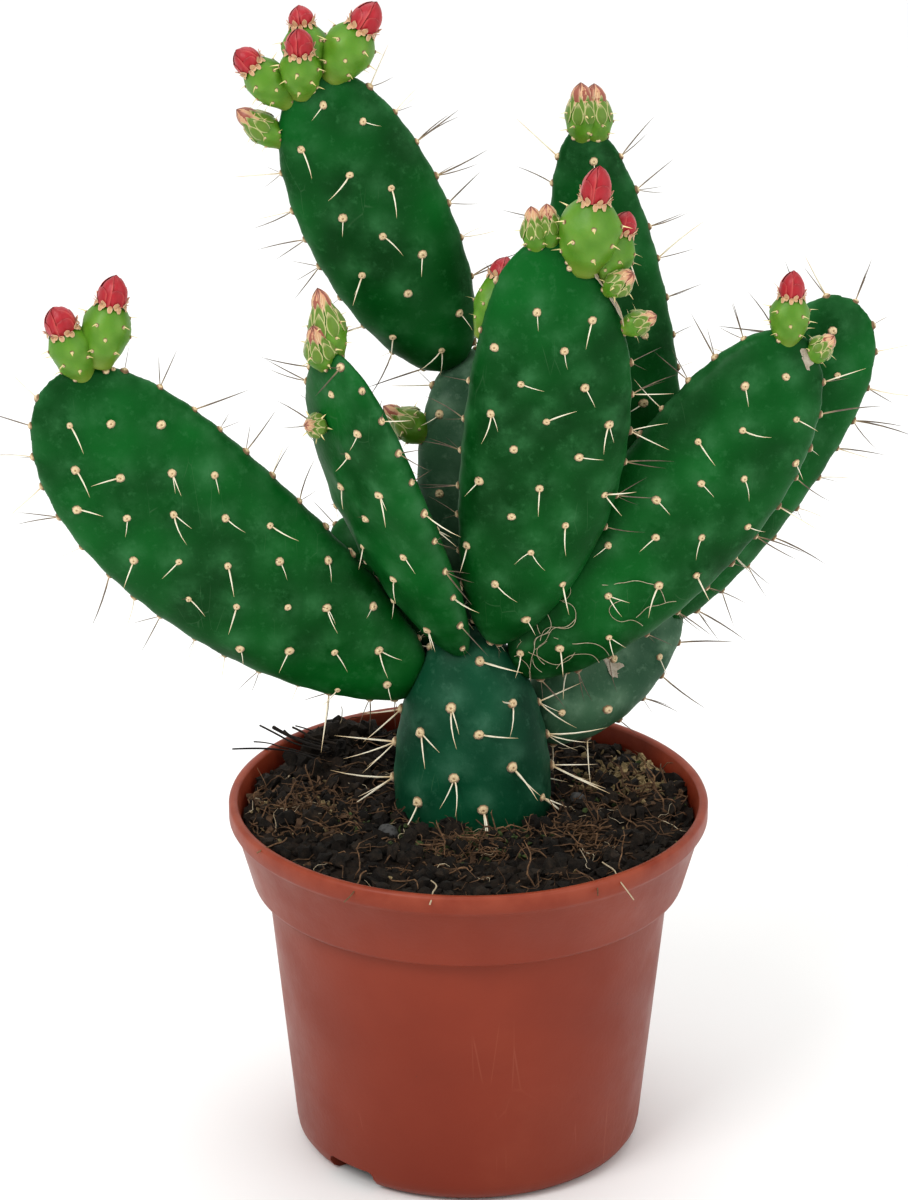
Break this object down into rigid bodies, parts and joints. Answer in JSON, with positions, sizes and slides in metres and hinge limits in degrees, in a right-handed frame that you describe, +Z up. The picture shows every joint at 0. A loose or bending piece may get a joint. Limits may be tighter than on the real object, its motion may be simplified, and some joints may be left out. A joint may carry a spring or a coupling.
{
  "type": "potted paddle cactus",
  "caption": "Small branching prickly pear cactus with flat oval pads and red-tipped flower buds, growing in soil in a round terracotta-coloured plastic nursery pot.",
  "frame": {"origin": "centre of the flat underside of the pot, on the surface it stands on", "axes": "+Z up, -Y the front of the plant, +X to the right seen from the front"},
  "size_m": [0.208, 0.12, 0.2915],
  "materials": {
    "pot_plastic": "satin terracotta-coloured polypropylene with a paler worn rim",
    "soil": "dark crumbly peat with brown fibres",
    "pebble": "dull grey grit",
    "young_pad_skin": "smooth waxy green skin, slightly paler round the areoles",
    "old_pad_skin": "older bluish green skin with a dusty bloom and corky marks",
    "bud_skin": "fresh light green skin with low tubercles",
    "red_petal": "closed crimson petals with paler edges",
    "brown_petal": "dry brown scale tips of a young bud",
    "areole": "tan felt tufts",
    "spine": "ivory spines with brown tips",
    "fibre": "dry brown plant fibres, chips and moss"
  },
  "bodies": {
    "root": {"bud_back_right_1": "bud_skin", "bud_back_right_1_petals": "brown_petal", "bud_back_right_2": "bud_skin", "bud_back_right_2_petals": "brown_petal", "bud_back_stem_1": "bud_skin", "bud_back_stem_1_petals": "brown_petal", "bud_centre_1": "bud_skin", "bud_centre_1_petals": "brown_petal", "bud_centre_2": "bud_skin", "bud_centre_2_petals": "brown_petal", "bud_centre_3": "bud_skin", "bud_centre_3_petals": "red_petal", "bud_centre_4": "bud_skin", "bud_centre_4_petals": "red_petal", "bud_centre_5": "bud_skin", "bud_centre_5_petals": "brown_petal", "bud_centre_6": "bud_skin", "bud_centre_6_petals": "brown_petal", "bud_centre_7": "bud_skin", "bud_centre_7_petals": "red_petal", "bud_left_1": "bud_skin", "bud_left_1_petals": "red_petal", "bud_left_2": "bud_skin", "bud_left_2_petals": "red_petal", "bud_narrow_1": "bud_skin", "bud_narrow_1_petals": "brown_petal", "bud_narrow_2": "bud_skin", "bud_narrow_2_petals": "brown_petal", "bud_narrow_3": "bud_skin", "bud_narrow_3_petals": "brown_petal", "bud_right_1": "bud_skin", "bud_right_1_petals": "red_petal", "bud_right_2": "bud_skin", "bud_right_2_petals": "brown_petal", "bud_upper_left_1": "bud_skin", "bud_upper_left_1_petals": "red_petal", "bud_upper_left_2": "bud_skin", "bud_upper_left_2_petals": "red_petal", "bud_upper_left_3": "bud_skin", "bud_upper_left_3_petals": "red_petal", "bud_upper_left_4": "bud_skin", "bud_upper_left_4_petals": "red_petal", "bud_upper_left_5": "bud_skin", "bud_upper_left_5_petals": "brown_petal", "pad_back_left": "young_pad_skin", "pad_back_right": "young_pad_skin", "pad_back_stem": "old_pad_skin", "pad_centre": "young_pad_skin", "pad_far_right": "young_pad_skin", "pad_left": "young_pad_skin", "pad_lower_right": "old_pad_skin", "pad_narrow": "young_pad_skin", "pad_right": "young_pad_skin", "pad_upper_left": "young_pad_skin", "pebble_back": "pebble", "pebble_left": "pebble", "pebble_right": "pebble", "pot": "pot_plastic", "soil": "soil", "trunk": "old_pad_skin"}
  },
  "joints": []
}
